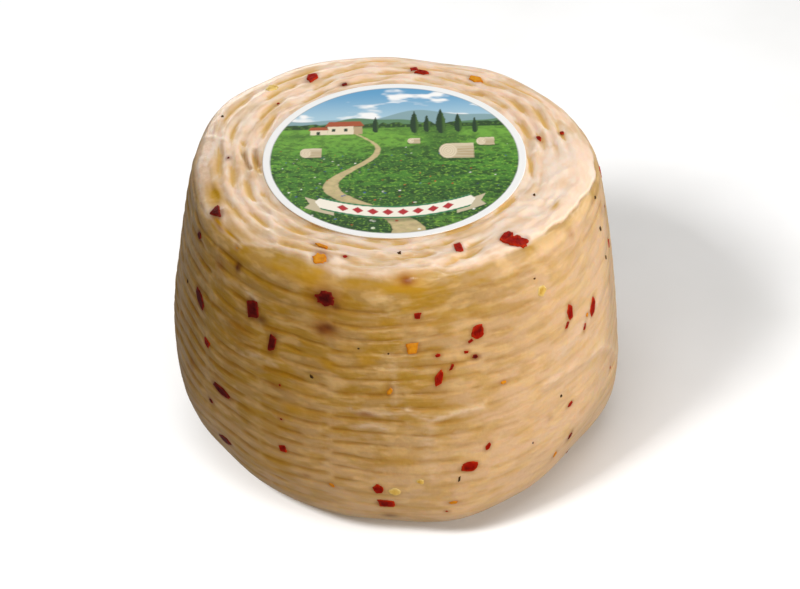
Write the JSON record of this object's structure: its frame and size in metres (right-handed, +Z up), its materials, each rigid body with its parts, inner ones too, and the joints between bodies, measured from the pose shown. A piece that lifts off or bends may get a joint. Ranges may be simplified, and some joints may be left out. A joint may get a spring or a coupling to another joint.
{
  "type": "fresh cheese",
  "caption": "Small basket-moulded drum of young primo sale cheese with chilli flakes pressed in its woven skin and a round paper label on top.",
  "frame": {"origin": "middle of the base, on the plane that the cheese rests on", "axes": "+Z up through the top face, front of the picture's view towards -Y, +X to its right"},
  "size_m": [0.1312, 0.1308, 0.0926],
  "materials": {
    "curd": "moist fresh curd, cream with ochre in the grooves and red chilli flakes",
    "paper": "smooth printed paper with a white rim"
  },
  "bodies": {
    "root": {"cheese": "curd", "label": "paper"}
  },
  "joints": []
}
